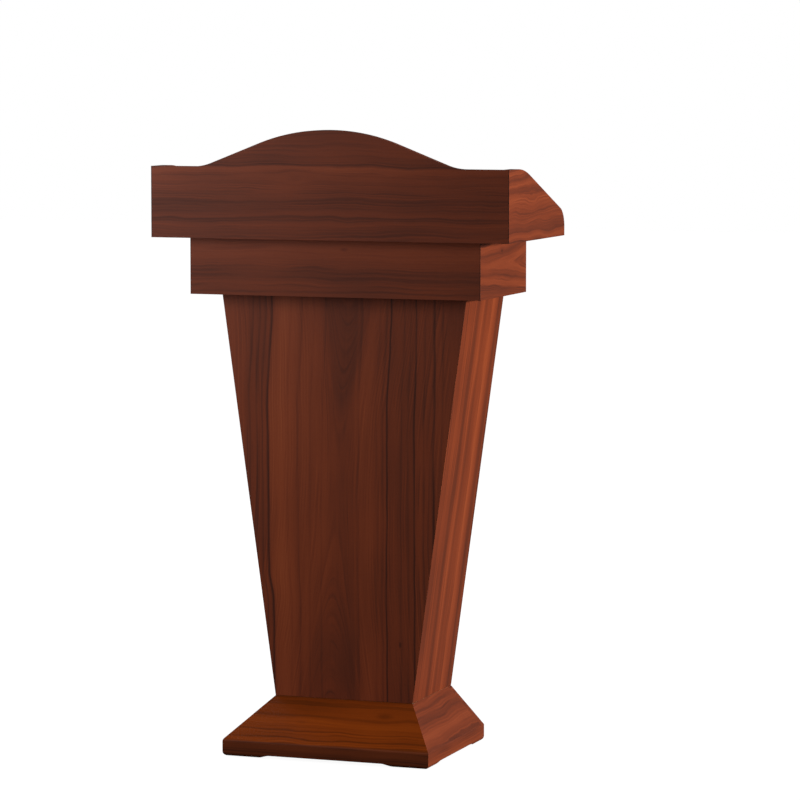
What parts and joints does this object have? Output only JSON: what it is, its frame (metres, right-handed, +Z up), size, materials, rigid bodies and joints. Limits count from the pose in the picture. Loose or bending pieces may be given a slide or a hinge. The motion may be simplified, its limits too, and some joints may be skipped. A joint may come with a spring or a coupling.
{
  "type": "wooden pulpit",
  "caption": "Free-standing wooden pulpit: crowned, sloping reading desk over a drawer tier, tapered body with open shelves at the back, and a flared plinth base.",
  "frame": {"origin": "on the floor, under the middle of the whole object's outline", "axes": "+Z up; -Y is the audience side, with the crowned board; +Y is the speaker's side, with the drawer and open shelves; +X is the right-hand side seen from the audience"},
  "size_m": [0.66, 0.33, 1.1],
  "materials": {
    "walnut": "satin red-brown walnut laminate, straight grain with dark streaks",
    "plain_wood": "bare softwood and board, unfinished",
    "drawer_wood": "thin clear lacquer over pale wood",
    "steel": "bright zinc plate",
    "brass": "satin",
    "nylon": "matte"
  },
  "bodies": {
    "carcass": {"plinth_front_rail": "walnut", "plinth_back_rail": "walnut", "plinth_left_rail": "walnut", "plinth_right_rail": "walnut", "base_bottom_panel": "plain_wood", "base_spacer_left": "plain_wood", "base_spacer_right": "plain_wood", "base_top_panel": "plain_wood", "bevel_front": "walnut", "bevel_left": "walnut", "bevel_right": "walnut", "base_back_panel": "walnut", "corner_blocks": "plain_wood", "foot_glides": "nylon", "base_screws": "steel", "body_front_panel": "walnut", "body_left_panel": "walnut", "body_right_panel": "walnut", "body_floor": "walnut", "shelf_lower": "walnut", "shelf_upper": "walnut", "body_cleat_left": "plain_wood", "body_cleat_right": "plain_wood", "body_cleat_screws": "steel", "shelf_cams": "steel", "shelf_cam_bolts": "steel", "shelf_dowels": "plain_wood", "tier_front_panel": "walnut", "tier_left_panel": "walnut", "tier_right_panel": "walnut", "tier_bottom_panel": "walnut", "runner_outer_left": "steel", "runner_outer_right": "steel", "runner_outer_screws": "steel", "desk_front_board": "walnut", "cheek_left": "walnut", "cheek_right": "walnut", "desk_bottom_panel": "walnut", "desk_back_rail": "walnut", "desk_panel": "walnut", "desk_ledge": "walnut", "ledge_cleat": "plain_wood", "desk_cleat_left": "plain_wood", "desk_cleat_right": "plain_wood", "desk_rib": "plain_wood", "tier_brackets": "steel", "tier_bracket_screws": "steel"},
    "drawer": {"drawer_front": "walnut", "drawer_left_side": "drawer_wood", "drawer_right_side": "drawer_wood", "drawer_back": "drawer_wood", "drawer_bottom": "drawer_wood", "drawer_knob": "brass", "knob_screw": "steel", "runner_inner_left": "steel", "runner_inner_right": "steel", "runner_inner_screws": "steel"},
    "left_slider": {"runner_middle_left": "steel"},
    "right_slider": {"runner_middle_right": "steel"}
  },
  "joints": [
    {"name": "drawer_slide", "type": "slide", "parent": "carcass", "child": "drawer", "axis": [0, 1, 0], "range_m": [0, 0.17]},
    {"name": "left_slider_slide", "type": "slide", "parent": "carcass", "child": "left_slider", "axis": [0, 1, 0], "range_m": [0, 0.085]},
    {"name": "right_slider_slide", "type": "slide", "parent": "carcass", "child": "right_slider", "axis": [0, 1, 0], "range_m": [0, 0.085]}
  ],
  "couplings": [
    {"joint": "left_slider_slide", "follows": "drawer_slide", "ratio": 0.5},
    {"joint": "right_slider_slide", "follows": "drawer_slide", "ratio": 0.5}
  ]
}
